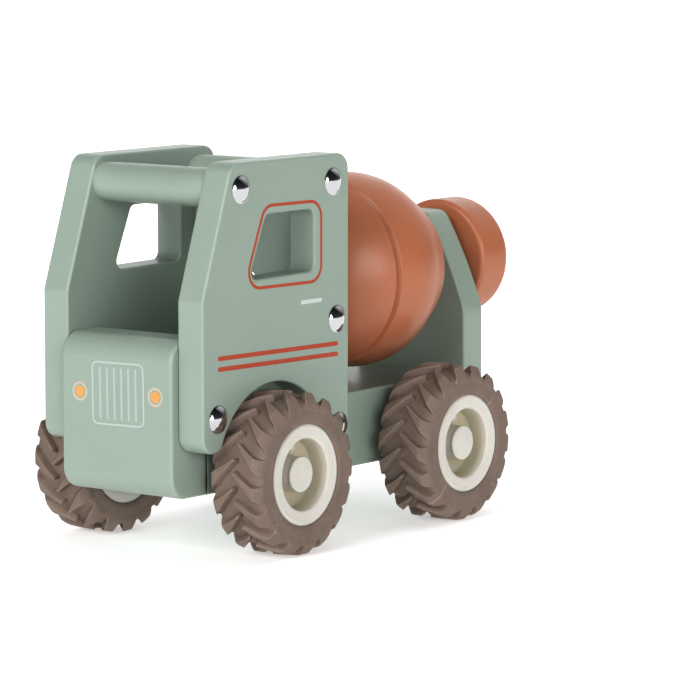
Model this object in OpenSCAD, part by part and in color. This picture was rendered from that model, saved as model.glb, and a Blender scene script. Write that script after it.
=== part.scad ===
// Push along toy concrete mixer truck: painted wooden body, turned drum, rubber tyres.
// Millimetres. +Z is up, the ground is z = 0, the cab faces -Y and the truck's left is +X.
// The origin is the bottom centre of the whole toy.

/* [Cab] */
// Width over the two side panels
body_w = 74; // [60:0.5:90]
// Thickness of each side panel
panel_t = 11.5; // [8:0.5:15]
// Height of the cab roof line above the ground
cab_h = 140.4; // [110:0.1:160]
// Length of each side panel
panel_len = 83.3; // [60:0.1:110]
// Height of the knee where the windscreen slope starts
knee_z = 92.9; // [80:0.1:110]
// How far back the windscreen slope reaches at the roof
slope_run = 16.3; // [8:0.1:30]
// Height of the panel's bottom edge ahead of the front wheel
panel_bottom = 39.4; // [34:0.1:50]
// Height of the panel's bottom edge behind the front wheel
panel_rear_bottom = 33; // [28:0.1:45]
// Radius of the wheel arch
arch_r = 31.9; // [30.5:0.1:36]
// Diameter of the two roof dowels
roof_dowel_d = 14.1; // [10:0.1:18]

/* [Front block and chassis] */
// How far the front block stands ahead of the panels
block_out = 3.5; // [0:0.1:8]
// Depth of the front block, front to back
block_depth = 19.9; // [15:0.1:35]
// Top of the front block above the ground
block_top = 78.6; // [70:0.1:90]
// Underside of the chassis above the ground
chassis_bottom = 22.2; // [15:0.1:26]
// Top of the chassis above the ground
chassis_top = 50.2; // [44:0.1:60]

/* [Wheels] */
// Distance between the two axles
wheelbase = 97.5; // [85:0.1:110]
// Front axle behind the panels' front edge
front_axle_back = 38.6; // [34:0.1:44]
// Tyre radius over the lugs
tyre_r = 29.2; // [25:0.1:29.6]
// Outer face of each hub from the centre line
hub_face_x = 52.4; // [48:0.1:58]
// Radius of the hub's rim
rim_r = 18.4; // [15:0.1:21]
// Number of lugs on each half of a tyre
lugs = 17; // [12:1:24]
// Diameter of the steel axles
axle_d = 4; // [3:0.1:5]

/* [Mixing drum] */
// Height of the drum's axis above the ground
drum_z = 91.6; // [85:0.1:100]
// Largest radius of the drum
drum_r = 36.9; // [30:0.1:39]
// Radius of the spout disc
spout_r = 22.7; // [16:0.1:26]
// Thickness of the spout disc
spout_t = 18.5; // [10:0.1:24]
// Thickness of the rear support board
board_t = 12.1; // [8:0.1:16]
// Front face of the support board behind the panels' front edge
board_back = 170.6; // [160:0.1:185]
// Top of the support board above the ground
board_top = 111.2; // [100:0.1:120]
// Diameter of the shaft that carries the drum's rear end
shaft_d = 12; // [8:0.1:14]

/* [Hidden] */
$fn = 64;

// paint, stain and metal colours
green = [0.49, 0.60, 0.52];
terracotta = [0.70, 0.38, 0.25];
rubber = [0.42, 0.36, 0.32];
cream = [0.86, 0.84, 0.80];
steel = [0.72, 0.72, 0.73];
bare_wood = [0.80, 0.68, 0.50];

// lengthwise places: y0 is the panels' front edge
spout_gap = 4.4;
spout_front = board_back + board_t + spout_gap;
toy_len = block_out + spout_front + spout_t;
y0 = block_out - toy_len / 2;
front_axle_y = y0 + front_axle_back;
rear_axle_y = front_axle_y + wheelbase;
board_y = y0 + board_back;
spout_y = y0 + spout_front;
axle_z = tyre_r;

// the chassis, the front block, the back wall and the board all fit between the panels
inner_w = body_w - 2 * panel_t;
run_gap = 0.08;

// the back wall stands just inside the panels' rear edge
wall_t = 11.5;
wall_y = y0 + 70.5;
wall_top = 121;

// cap screws: [distance behind the front edge, height] of each head on a panel
cap_head_r = 5;
cap_head_h = 1.9;
cap_shank_r = 1.75;
cap_shank_len = 26;
roof_front = [21.3, 130.9];
roof_rear = [74, 130.4];
cap_places = [roof_front, roof_rear, [76.2, 80.4], [8.2, 51], [77.3, 41.2]];

// wheel cross-section
hub_w = 21.4;
hub_in_x = hub_face_x - hub_w;
recess_r = 12.9;
recess_depth = 8.4;
cap_r = 6.4;
cap_t = 1.5;
axle_end_depth = 4;
carcass_r = tyre_r - 3.1;

// ---------- shared shapes ----------

// cylinder along X, centred on x = 0
module rod_x(r, len) {
  rotate([0, 90, 0])
    cylinder(r = r, h = len, center = true);
}

// point on a circle
function arc_pt(c, r, a) = [c[0] + r * cos(a), c[1] + r * sin(a)];
function arc(c, r, a0, a1, n) = [for (i = [0:n]) arc_pt(c, r, a0 + (a1 - a0) * i / n)];

// ---------- side panels ----------

// centre of the round that joins the slope and the roof line, and of the other corners
roof_round = 6;
foot_round = 6;
heel_round = 4;
slope_a = atan2(cab_h - knee_z, slope_run);
arch_c = [40.3, 29.1];
// behind the arch centre, where the two heights of the bottom edge meet inside the arch
under_arch = 20;

// the outline in the (length, height) plane, clockwise from the front foot
function panel_outline() = concat(
  arc([foot_round, panel_bottom + foot_round], foot_round, 270, 180, 8),
  [[0, knee_z]],
  arc(
    [slope_run + roof_round * tan(slope_a / 2), cab_h - roof_round],
    roof_round, 90 + slope_a, 90, 8
  ),
  arc([panel_len - roof_round, cab_h - roof_round], roof_round, 90, 0, 8),
  arc([panel_len - heel_round, panel_rear_bottom + heel_round], heel_round, 0, -90, 6),
  [[arch_c[0] + under_arch, panel_rear_bottom]],
  [[arch_c[0] + under_arch, panel_bottom]]
);

win_round = 3;
win_low = 98.2;
win_high = 121.2;
win_front_low = 27.2;
win_front_high = 34.4;
win_rear = 63;

// window opening, a trapezoid with a sloping front edge
module window_outline() {
  hull() {
    for (p = [
      [win_front_low + win_round * 1.3, win_low + win_round],
      [win_front_high + win_round * 0.8, win_high - win_round],
      [win_rear - win_round, win_high - win_round],
      [win_rear - win_round, win_low + win_round]
    ])
      translate(p)
        circle(win_round, $fn = 32);
  }
}

// flat panel in the (length, height) plane
module panel_plate(t) {
  difference() {
    linear_extrude(t)
      polygon(panel_outline());
    translate([arch_c[0], arch_c[1], -1])
      cylinder(r = arch_r, h = t + 2, $fn = 96);
    translate([0, 0, -1])
      linear_extrude(t + 2)
        window_outline();
    for (p = cap_places)
      translate([p[0], p[1], -1])
        cylinder(r = cap_shank_r, h = t + 2, $fn = 32);
  }
}

// stands a (length, height) plate upright; side is 1 for left and -1 for right
module stand_panel(side) {
  translate([side > 0 ? body_w / 2 - panel_t : -body_w / 2, y0, 0])
    rotate([90, 0, 90])
      panel_plate(panel_t);
}

module left_side_panel() {
  color(green)
    stand_panel(1);
}

module right_side_panel() {
  color(green)
    stand_panel(-1);
}

// ---------- wooden body ----------

module chassis_block() {
  len = board_back - (block_depth - block_out);
  color(green)
    difference() {
      translate([-inner_w / 2, y0 + block_depth - block_out, chassis_bottom])
        cube([inner_w, len, chassis_top - chassis_bottom]);
      for (y = [front_axle_y, rear_axle_y])
        translate([0, y, axle_z])
          rod_x(axle_d / 2 + run_gap, inner_w + 2);
      side_bore_pair(cap_places[4]);
      board_screw_bores();
    }
}

// blind pilot holes from both sides for one pair of cap screws
module side_bore_pair(p) {
  for (side = [-1, 1])
    translate([side * (body_w / 2 - cap_shank_len / 2), y0 + p[0], p[1]])
      rod_x(cap_shank_r, cap_shank_len);
}

block_front_round = 8;

// the block's front is rounded over along its top and bottom edges
module front_block() {
  color(green)
    difference() {
      translate([-inner_w / 2, y0 - block_out, chassis_bottom])
        rotate([90, 0, 90])
          linear_extrude(inner_w)
            block_side();
      side_bore_pair(cap_places[3]);
    }
}

// side view of the front block: x runs backwards and y runs up
module block_side() {
  h = block_top - chassis_bottom;
  r = block_front_round;
  polygon(concat(
    arc([r, h - r], r, 90, 180, 10),
    arc([r, r], r, 180, 270, 10),
    [[block_depth, 0], [block_depth, h]]
  ));
}

module cab_back_wall() {
  color(green)
    difference() {
      translate([-inner_w / 2, wall_y, chassis_top])
        cube([inner_w, wall_t, wall_top - chassis_top]);
      translate([0, wall_y + wall_t / 2, drum_z])
        rotate([90, 0, 0])
          cylinder(r = pivot_shank_r + run_gap, h = wall_t + 2, center = true, $fn = 48);
      side_bore_pair(cap_places[2]);
    }
}

module roof_dowel(p) {
  color(green)
    translate([0, y0 + p[0], p[1]])
      difference() {
        rod_x(roof_dowel_d / 2, inner_w);
        for (side = [-1, 1])
          translate([side * (body_w / 2 - cap_shank_len / 2), 0, 0])
            rod_x(cap_shank_r, cap_shank_len);
      }
}

module front_roof_dowel() {
  roof_dowel(roof_front);
}

module rear_roof_dowel() {
  roof_dowel(roof_rear);
}

// ---------- rear support board ----------

// the upper sides lean in on a wide curve from the knee, and a round joins them to the top
board_knee_z = 74.5;
board_side_r = 166.5;
board_knee_a = 18.8;
board_round = 6;

// half outline in the (width, height) plane, mirrored about the centre line
function board_half() = let (
  side_c = [inner_w / 2, board_knee_z] - board_side_r * [cos(board_knee_a), sin(board_knee_a)],
  round_z = board_top - board_round,
  a = asin((round_z - side_c[1]) / (board_side_r - board_round)),
  round_x = side_c[0] + (board_side_r - board_round) * cos(a)
) concat(
  [[inner_w / 2, chassis_bottom]],
  arc(side_c, board_side_r, board_knee_a, a, 6),
  arc([round_x, round_z], board_round, a + 10, 90, 6)
);

module rear_support_board() {
  half = board_half();
  n = len(half);
  color(green)
    difference() {
      translate([0, board_y + board_t, 0])
        rotate([90, 0, 0])
          linear_extrude(board_t)
            polygon(concat(half, [for (i = [n - 1:-1:0]) [-half[i][0], half[i][1]]]));
      translate([0, board_y + board_t / 2, drum_z])
        rotate([90, 0, 0])
          cylinder(r = shaft_d / 2 + run_gap, h = board_t + 2, center = true, $fn = 64);
      board_screw_bores();
    }
}

board_screw_r = 2;
board_screw_len = 32;
board_screw_head_r = 4;
board_screw_x = 15;
board_screw_z = 36;

// countersunk screw along -Y with its flat head flush with the board's rear face
module board_screw(extra) {
  rotate([90, 0, 0]) {
    translate([0, 0, -extra])
      cylinder(r = board_screw_r, h = board_screw_len + extra, $fn = 32);
    translate([0, 0, -extra])
      cylinder(r = board_screw_head_r, h = 0.6 + extra, $fn = 48);
    translate([0, 0, 0.6])
      cylinder(r1 = board_screw_head_r, r2 = board_screw_r, h = 2.2, $fn = 48);
  }
}

module board_screw_places() {
  for (side = [-1, 1])
    translate([side * board_screw_x, board_y + board_t, board_screw_z])
      children();
}

module board_screw_bores() {
  board_screw_places()
    board_screw(1);
}

// cross recess in each head
module rear_board_screws() {
  color(steel)
    board_screw_places()
      difference() {
        board_screw(0);
        for (a = [0, 90])
          rotate([0, a, 0])
            cube([4.4, 2.4, 0.9], center = true);
      }
}

// ---------- cap screws ----------

// domed head standing on z = 0
module dome_head() {
  dome_r = (cap_head_r * cap_head_r + cap_head_h * cap_head_h) / (2 * cap_head_h);
  half_a = asin(cap_head_r / dome_r);
  rotate_extrude($fn = 48)
    polygon(concat([[0, 0]], arc([0, cap_head_h - dome_r], dome_r, 90 - half_a, 90, 8)));
}

// the head's underside is at z = 0 and it points along +z
module cap_screw() {
  dome_head();
  translate([0, 0, -cap_shank_len])
    cylinder(r = cap_shank_r, h = cap_shank_len + 0.1, $fn = 32);
}

module cap_screw_set(side) {
  color(steel)
    for (p = cap_places)
      translate([side * body_w / 2, y0 + p[0], p[1]])
        rotate([0, side * 90, 0])
          cap_screw();
}

module left_cap_screws() {
  cap_screw_set(1);
}

module right_cap_screws() {
  cap_screw_set(-1);
}

// ---------- drum ----------

// places along the drum's axis, measured from the middle of the support board
board_mid = board_y + board_t / 2;
drum_belly = -46.4;
drum_curve_r = 28.6;
drum_front_curve_r = 34;
drum_front = -88;
drum_rear = -17.6;
groove_at = -59.1;
groove_deep = 1.5;
groove_half = 1.9;
drum_rear_round = 9;
drum_front_r = 17.5;
pivot_shank_r = 2.5;
pivot_depth = 20;
shaft_depth = 24;

// barrel radius at a distance s from the board's middle
function barrel_r(s) = let (r = s > drum_belly ? drum_curve_r : drum_front_curve_r)
  drum_r - r + sqrt(pow(r, 2) - pow(s - drum_belly, 2));

// groove depth, a rounded valley
function groove(s) = abs(s - groove_at) < groove_half
  ? groove_deep * (1 + cos(180 * (s - groove_at) / groove_half)) / 2
  : 0;

drum_step = 0.95;

// behind the belly the profile turns by this angle and then runs straight until the rear round
taper_a = 27;
round_s = drum_rear - drum_rear_round;
round_r = (
  (drum_r - drum_curve_r) * cos(taper_a) + (drum_belly - round_s) * sin(taper_a)
  + drum_curve_r - drum_rear_round
) / cos(taper_a);

// profile point at an angle on a round about [radius, place]
function round_pt(c, r, a) = [c[0] + r * cos(a), c[1] + r * sin(a)];

drum_profile = concat(
  [[0, drum_front], [drum_front_r, drum_front]],
  [for (s = [-75:3:-63]) [barrel_r(s), s]],
  [for (i = [-2:2]) let (s = groove_at + i * drum_step) [barrel_r(s) - groove(s), s]],
  [for (s = [-55:2.5:drum_belly]) [barrel_r(s), s]],
  [for (a = [3:4:taper_a]) round_pt([drum_r - drum_curve_r, drum_belly], drum_curve_r, a)],
  [for (a = [taper_a:9:90]) round_pt([round_r, round_s], drum_rear_round, a)],
  [[0, drum_rear]]
);

module along_drum() {
  translate([0, board_mid, drum_z])
    rotate([-90, 0, 0])
      children();
}

module mixing_drum() {
  color(terracotta)
    along_drum()
      difference() {
        rotate_extrude($fn = 96)
          polygon(drum_profile);
        translate([0, 0, drum_front - 1])
          cylinder(r = pivot_shank_r, h = pivot_depth + 1, $fn = 48);
        translate([0, 0, drum_rear - shaft_depth])
          cylinder(r = shaft_d / 2, h = shaft_depth + 1, $fn = 64);
      }
}

// domed screw through the back wall into the drum's front end
module drum_pivot_screw() {
  head_gap = 0.4;
  head_y = wall_y - head_gap - board_mid;
  shank = drum_front + pivot_depth - head_y;
  color(steel)
    along_drum()
      translate([0, 0, head_y]) {
        cylinder(r = pivot_shank_r, h = shank, $fn = 48);
        mirror([0, 0, 1])
          dome_head();
      }
}

shaft_into_spout = 12;

module drum_rear_shaft() {
  start = drum_rear - shaft_depth;
  end = spout_y - board_mid + shaft_into_spout;
  color(bare_wood)
    along_drum()
      translate([0, 0, start])
        cylinder(r = shaft_d / 2, h = end - start, $fn = 64);
}

module spout_spacer() {
  spacer_gap = 0.4;
  color(bare_wood)
    along_drum()
      translate([0, 0, board_t / 2 + spacer_gap])
        difference() {
          cylinder(r = 9, h = spout_gap - spacer_gap, $fn = 64);
          translate([0, 0, -1])
            cylinder(r = shaft_d / 2, h = spout_gap + 2, $fn = 64);
        }
}

spout_front_round = 2;
spout_rear_round = 4.6;

module drum_spout() {
  front = spout_y - board_mid;
  rear = front + spout_t;
  color(terracotta)
    along_drum()
      difference() {
        rotate_extrude($fn = 96)
          polygon(concat(
            [[0, front]],
            [for (a = [0:22.5:90]) [
              spout_r - spout_front_round * (1 - sin(a)),
              front + spout_front_round * (1 - cos(a))
            ]],
            [for (a = [90:-15:0]) [
              spout_r - spout_rear_round * (1 - sin(a)),
              rear - spout_rear_round * (1 - cos(a))
            ]],
            [[0, rear]]
          ));
        translate([0, 0, front - 1])
          cylinder(r = shaft_d / 2, h = shaft_into_spout + 1, $fn = 64);
      }
}

// ---------- wheels ----------

// runs its children at one wheel, with +z pointing outwards along the axle
module at_wheel(side, y) {
  translate([0, y, axle_z])
    rotate([0, side * 90, 0])
      children();
}

module axle(y) {
  color(steel)
    translate([0, y, axle_z])
      rod_x(axle_d / 2, 2 * (hub_face_x - axle_end_depth));
}

module front_axle() {
  axle(front_axle_y);
}

module rear_axle() {
  axle(rear_axle_y);
}

washer_t = 0.8;
washer_gap = 0.3;

module axle_washers(y) {
  color(steel)
    for (side = [-1, 1])
      at_wheel(side, y)
        translate([0, 0, inner_w / 2 + washer_gap])
          difference() {
            cylinder(r = 4.5, h = washer_t, $fn = 48);
            translate([0, 0, -1])
              cylinder(r = axle_d / 2, h = washer_t + 2, $fn = 48);
          }
}

module front_axle_washers() {
  axle_washers(front_axle_y);
}

module rear_axle_washers() {
  axle_washers(rear_axle_y);
}

// moulded hub: rim, web, boss and a small gusset in the outer recess
rim_wall = 4.5;
rim_drop = 1.5;
web_t = 4;
boss_r = 5.2;
boss_start = inner_w / 2 + washer_gap + washer_t;
floor_x = hub_face_x - recess_depth;
web_start = floor_x - web_t;
cap_seat_depth = 2;
cap_under = hub_face_x - cap_seat_depth - cap_t;
post_r = 5.6;
axle_end_r = 2.6;
gusset_w = 2.4;
gusset_in = 3;
gusset_a = 208;
overlap = 0.1;

module hub_body() {
  face = hub_face_x;
  rotate_extrude($fn = 72)
    polygon([
      [0, boss_start], [boss_r, boss_start], [boss_r, web_start],
      [rim_r - rim_wall - rim_drop, web_start], [rim_r - rim_wall, hub_in_x],
      [rim_r, hub_in_x], [rim_r, hub_in_x + rim_drop],
      [rim_r - rim_drop, hub_in_x + 2 * rim_drop], [rim_r - rim_drop, face - 3],
      [rim_r, face - 1.6], [rim_r - 0.3, face - 0.4], [rim_r - 1, face],
      [recess_r + 1.8, face - 0.5], [recess_r + 0.5, face - 0.9], [recess_r, face - 1.5],
      [recess_r - 0.6, floor_x], [0, floor_x]
    ]);
  translate([0, 0, floor_x - overlap])
    cylinder(r = post_r, h = cap_under - floor_x + overlap, $fn = 48);
  rotate(gusset_a)
    translate([recess_r - gusset_in, -gusset_w / 2, floor_x - overlap])
      cube([gusset_in, gusset_w, cap_under - floor_x + overlap]);
}

module hub(side, y) {
  color(cream)
    at_wheel(side, y)
      difference() {
        hub_body();
        cylinder(r = axle_d / 2, h = floor_x, $fn = 48);
        translate([0, 0, floor_x - 1])
          cylinder(r = axle_end_r, h = recess_depth, $fn = 48);
      }
}

module front_left_hub() {
  hub(1, front_axle_y);
}

module front_right_hub() {
  hub(-1, front_axle_y);
}

module rear_left_hub() {
  hub(1, rear_axle_y);
}

module rear_right_hub() {
  hub(-1, rear_axle_y);
}

// round push-in cap that covers the axle's end
module hub_cap(side, y) {
  top = cap_under + cap_t;
  color(cream)
    at_wheel(side, y)
      rotate_extrude($fn = 64)
        polygon([
          [0, cap_under], [cap_r, cap_under], [cap_r, top - 0.5],
          [cap_r - 0.15, top - 0.15], [cap_r - 0.5, top], [0, top]
        ]);
}

module front_left_cap() {
  hub_cap(1, front_axle_y);
}

module front_right_cap() {
  hub_cap(-1, front_axle_y);
}

module rear_left_cap() {
  hub_cap(1, rear_axle_y);
}

module rear_right_cap() {
  hub_cap(-1, rear_axle_y);
}

// tyre cross-section as [radius, distance from the centre line]
tyre_in = hub_in_x - 0.9;
tyre_out = hub_face_x + 0.4;
tyre_mid = (tyre_in + tyre_out) / 2;
shoulder = 5;
seat_r = rim_r - rim_drop;

carcass_profile = [
  [seat_r, hub_in_x + 2 * rim_drop], [rim_r, hub_in_x + rim_drop], [rim_r + 0.8, tyre_in],
  [carcass_r - 4, tyre_in], [carcass_r - 1, tyre_in + 1.5], [carcass_r, tyre_in + shoulder],
  [carcass_r + 0.4, tyre_mid], [carcass_r, tyre_out - shoulder],
  [carcass_r - 1, tyre_out - 1.5], [carcass_r - 4, tyre_out], [rim_r + 0.8, tyre_out - 0.3],
  [rim_r, hub_face_x - 1.6], [seat_r, hub_face_x - 3]
];

// envelope that the lugs are trimmed to
lug_profile = [
  [carcass_r - 6, tyre_in + 0.4], [tyre_r - 4, tyre_in + 0.4], [tyre_r - 1.2, tyre_in + 2],
  [tyre_r, tyre_in + 5], [tyre_r, tyre_out - 5],
  [tyre_r - 1.2, tyre_out - 2], [tyre_r - 4, tyre_out - 0.4], [carcass_r - 6, tyre_out - 0.4]
];

lug_w = 4;
lug_tilt = 32;
lug_h = 8;
lug_past_middle = 1.2;
lug_reach = 16;

// one slanted bar from the tyre's middle to one shoulder
module lug_bar(half) {
  translate([carcass_r - 3, 0, tyre_mid])
    rotate([half * lug_tilt, 0, 0])
      translate([0, -lug_w / 2, half > 0 ? -lug_past_middle : -lug_reach])
        cube([lug_h, lug_w, lug_reach + lug_past_middle]);
}

module tyre(side, y) {
  color(rubber)
    at_wheel(side, y)
      union() {
        rotate_extrude($fn = 72)
          polygon(carcass_profile);
        intersection() {
          rotate_extrude($fn = 72)
            polygon(lug_profile);
          union()
            for (i = [0:lugs - 1]) {
              rotate(360 / lugs * i)
                lug_bar(1);
              rotate(360 / lugs * (i + 0.5))
                lug_bar(-1);
            }
        }
      }
}

module front_left_tyre() {
  tyre(1, front_axle_y);
}

module front_right_tyre() {
  tyre(-1, front_axle_y);
}

module rear_left_tyre() {
  tyre(1, rear_axle_y);
}

module rear_right_tyre() {
  tyre(-1, rear_axle_y);
}

// ---------- selection ----------

chassis_block();
front_block();
left_side_panel();
right_side_panel();
cab_back_wall();
front_roof_dowel();
rear_roof_dowel();
rear_support_board();
left_cap_screws();
right_cap_screws();
rear_board_screws();
mixing_drum();
drum_pivot_screw();
drum_rear_shaft();
spout_spacer();
drum_spout();
front_axle();
front_left_tyre();
front_right_tyre();
front_left_hub();
front_right_hub();
front_left_cap();
front_right_cap();
front_axle_washers();
rear_axle();
rear_left_tyre();
rear_right_tyre();
rear_left_hub();
rear_right_hub();
rear_left_cap();
rear_right_cap();
rear_axle_washers();
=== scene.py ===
"""Looks of the push along concrete mixer truck: painted wood, rubber tyres, chrome screws and printed trim.

Lengths in this file are millimetres unless a name says otherwise, and mm() turns them into metres.
"""

import math

import bmesh
import bpy
from mathutils import Matrix, Vector


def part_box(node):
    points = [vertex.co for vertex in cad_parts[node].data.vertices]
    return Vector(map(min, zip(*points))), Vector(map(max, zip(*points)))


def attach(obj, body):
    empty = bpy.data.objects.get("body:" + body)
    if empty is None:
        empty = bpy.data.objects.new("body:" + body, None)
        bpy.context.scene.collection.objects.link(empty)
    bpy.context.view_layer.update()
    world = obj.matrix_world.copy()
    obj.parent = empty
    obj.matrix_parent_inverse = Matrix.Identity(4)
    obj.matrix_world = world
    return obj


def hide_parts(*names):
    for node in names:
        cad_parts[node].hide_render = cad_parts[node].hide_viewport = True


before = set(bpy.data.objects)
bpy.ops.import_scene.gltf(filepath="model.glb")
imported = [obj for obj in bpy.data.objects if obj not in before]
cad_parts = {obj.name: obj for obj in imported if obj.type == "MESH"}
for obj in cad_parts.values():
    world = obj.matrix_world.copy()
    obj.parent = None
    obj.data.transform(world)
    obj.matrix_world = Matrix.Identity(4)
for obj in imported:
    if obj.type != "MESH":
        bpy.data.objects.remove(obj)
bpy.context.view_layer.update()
scene = bpy.context.scene


def mm(value):
    """Millimetres in metres."""
    return value * 0.001


# ---------- places that everything else follows, read from the frame ----------


def box_mm(node):
    """Lowest and highest corner of a CAD node, in millimetres."""
    low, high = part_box(node)
    return low * 1000, high * 1000


panel_low, panel_high = box_mm("left_side_panel")
chassis_low, chassis_high = box_mm("chassis_block")
block_low, block_high = box_mm("front_block")
wall_low, wall_high = box_mm("cab_back_wall")
board_low, board_high = box_mm("rear_support_board")
drum_low, drum_high = box_mm("mixing_drum")
spout_low, spout_high = box_mm("drum_spout")
FRONT = panel_low.y
DRUM_Z = (drum_low.z + drum_high.z) / 2
BOARD_MID = (board_low.y + board_high.y) / 2

# ---------- mesh helpers ----------


def arc(cx, cy, r, start, end, steps):
    """Points on a circle from one angle to another, in degrees."""
    angles = [math.radians(start + (end - start) * i / steps) for i in range(steps + 1)]
    return [Vector((cx + r * math.cos(a), cy + r * math.sin(a))) for a in angles]


def circle(cx, cy, r, clockwise=False):
    """A closed outline; a hole runs clockwise."""
    points = arc(cx, cy, r, 0, 352.5, 47)
    return [points[0], *reversed(points[1:])] if clockwise else points


def rounded(corners, steps=8):
    """Outline through (x, y, radius) corners, each rounded by its own radius."""
    out = []
    count = len(corners)
    for i, (x, y, r) in enumerate(corners):
        here = Vector((x, y))
        before = (Vector(corners[i - 1][:2]) - here).normalized()
        after = (Vector(corners[(i + 1) % count][:2]) - here).normalized()
        half = before.angle(after) / 2
        if r <= 0:
            out.append(here)
            continue
        reach = r / math.tan(half)
        middle = here + (before + after).normalized() * (r / math.sin(half))
        a, b = here + before * reach - middle, here + after * reach - middle
        for k in range(steps + 1):
            out.append(middle + a.lerp(b, k / steps).normalized() * r)
    return out


def soften(a, corner, b, steps=6):
    """A short curve from a to b that is pulled towards corner."""
    points = []
    for k in range(steps + 1):
        t = k / steps
        points.append(a * (1 - t) ** 2 + corner * (2 * t * (1 - t)) + b * t**2)
    return points


def inset(points, d):
    """The closed outline moved by d to the left of its direction of travel."""
    out = []
    count = len(points)
    for i in range(count):
        u = (points[i] - points[i - 1]).normalized()
        v = (points[(i + 1) % count] - points[i]).normalized()
        m = Vector((-u.y - v.y, u.x + v.x))
        k = max(0.3, (1 + u.dot(v)) / 2)
        out.append(points[i] + m * (d / 2) / k)
    return out


def new_piece(name, bm, material, body, nodes=(), sharp=35):
    """Makes the object and puts it on its body. Edges over sharp degrees stay hard."""
    bmesh.ops.recalc_face_normals(bm, faces=bm.faces)
    limit = math.radians(sharp)
    for edge in bm.edges:
        edge.smooth = not (edge.is_manifold and edge.calc_face_angle(0) > limit)
    for face in bm.faces:
        face.smooth = True
    mesh = bpy.data.meshes.new(name)
    bm.to_mesh(mesh)
    bm.free()
    mesh.materials.append(material)
    piece = bpy.data.objects.new(name, mesh)
    scene.collection.objects.link(piece)
    normals = piece.modifiers.new("normals", "WEIGHTED_NORMAL")
    normals.keep_sharp = True
    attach(piece, body)
    if nodes:
        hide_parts(*nodes)
    return piece


TINY = 1e-9


def plate(bm, contours, thickness, front_r, back_r, place, steps=4, bores=()):
    """A flat plate with rounded edges; the bores' edges stay sharp.

    Outlines run with the material on their left; place maps (u, v, w).
    """
    levels = [
        (front_r * (1 - math.cos(a)), front_r * (1 - math.sin(a)))
        for a in [math.pi / 2 * (1 - k / steps) for k in range(steps + 1)]
    ]
    levels += [
        (back_r * (1 - math.cos(a)), thickness - back_r * (1 - math.sin(a)))
        for a in [math.pi / 2 * k / steps for k in range(steps + 1)]
    ]
    first, last = [], []
    for k, points in enumerate([*contours, *bores]):
        has_round = k < len(contours)
        rings = []
        for d, w in levels:
            ring = inset(points, d) if has_round and d > TINY else points
            rings.append([bm.verts.new(place(p.x, p.y, w)) for p in ring])
        for low, high in zip(rings, rings[1:]):
            for i in range(len(low)):
                bm.faces.new((low[i - 1], low[i], high[i], high[i - 1]))
        for ring, edges in ((rings[0], first), (rings[-1], last)):
            edges += [bm.edges.get((ring[i - 1], ring[i])) for i in range(len(ring))]
    for edges in (first, last):
        bmesh.ops.triangle_fill(bm, use_beauty=True, edges=edges)


def revolve(bm, profile, place, segments=96):
    """A solid of revolution. The profile is (radius, distance) points.

    place maps (x, y, distance).
    """
    rings = []
    for r, s in profile:
        if r < TINY:
            rings.append([bm.verts.new(place(0, 0, s))])
            continue
        turn = [2 * math.pi * i / segments for i in range(segments)]
        rings.append([bm.verts.new(place(r * math.cos(a), r * math.sin(a), s)) for a in turn])
    for low, high in zip(rings, rings[1:]):
        for i in range(segments):
            j = (i + 1) % segments
            if len(low) == 1:
                bm.faces.new((low[0], high[j], high[i]))
            elif len(high) == 1:
                bm.faces.new((low[i], low[j], high[0]))
            else:
                bm.faces.new((low[i], low[j], high[j], high[i]))


# ---------- materials ----------


# vertex attribute of a hub for painted shade: 0 on its outside, 1 far inside its recess, where the colour
# below is mixed in as painted shade
RECESS_SHADE = "recess"
RECESS_SHADE_COLOUR = (0.50, 0.455, 0.345, 1.0)


class Nodes:
    """Adds and joins the nodes of one material. Textures follow the piece; scales are per metre."""

    def __init__(self, name):
        self.material = bpy.data.materials.new(name)
        self.material.use_nodes = True
        self.tree = self.material.node_tree
        self.shader = self.tree.nodes["Principled BSDF"]
        self.place = self.tree.nodes.new("ShaderNodeTexCoord").outputs["Object"]

    def link(self, source, socket):
        self.tree.links.new(source, socket)

    def noise(self, scale, detail=2.0, stretch=(1, 1, 1)):
        """Noise value; a stretch under 1 draws it out along that axis."""
        mapping = self.tree.nodes.new("ShaderNodeMapping")
        mapping.inputs["Scale"].default_value = stretch
        self.link(self.place, mapping.inputs["Vector"])
        node = self.tree.nodes.new("ShaderNodeTexNoise")
        node.inputs["Scale"].default_value = scale
        node.inputs["Detail"].default_value = detail
        self.link(mapping.outputs["Vector"], node.inputs["Vector"])
        return node.outputs["Fac"]

    def span(self, fac, low, high, start=0.3, end=0.7):
        """Maps start to end onto low to high, and clamps."""
        node = self.tree.nodes.new("ShaderNodeMapRange")
        node.inputs["From Min"].default_value = start
        node.inputs["From Max"].default_value = end
        node.inputs["To Min"].default_value = low
        node.inputs["To Max"].default_value = high
        self.link(fac, node.inputs["Value"])
        return node.outputs["Result"]

    def mix(self, fac, a, b):
        """Blend of two colours; each is a tuple or a socket."""
        node = self.tree.nodes.new("ShaderNodeMix")
        node.data_type = "RGBA"
        self.link(fac, node.inputs["Factor"])
        for value, socket in ((a, node.inputs[6]), (b, node.inputs[7])):
            if isinstance(value, tuple):
                socket.default_value = value
            else:
                self.link(value, socket)
        return node.outputs[2]

    def bump(self, height, strength, distance, previous=None):
        """Bumped normal, on top of the previous one if given."""
        node = self.tree.nodes.new("ShaderNodeBump")
        node.inputs["Strength"].default_value = strength
        node.inputs["Distance"].default_value = distance
        self.link(height, node.inputs["Height"])
        if previous:
            self.link(previous, node.inputs["Normal"])
        return node.outputs["Normal"]

    def set(self, **values):
        """Sets shader inputs by name, with _ for a space."""
        for name, value in values.items():
            self.shader.inputs[name.replace("_", " ")].default_value = value


def shade(colour, factor):
    """The colour made lighter or darker by factor."""
    return (colour[0] * factor, colour[1] * factor, colour[2] * factor, 1.0)


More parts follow.
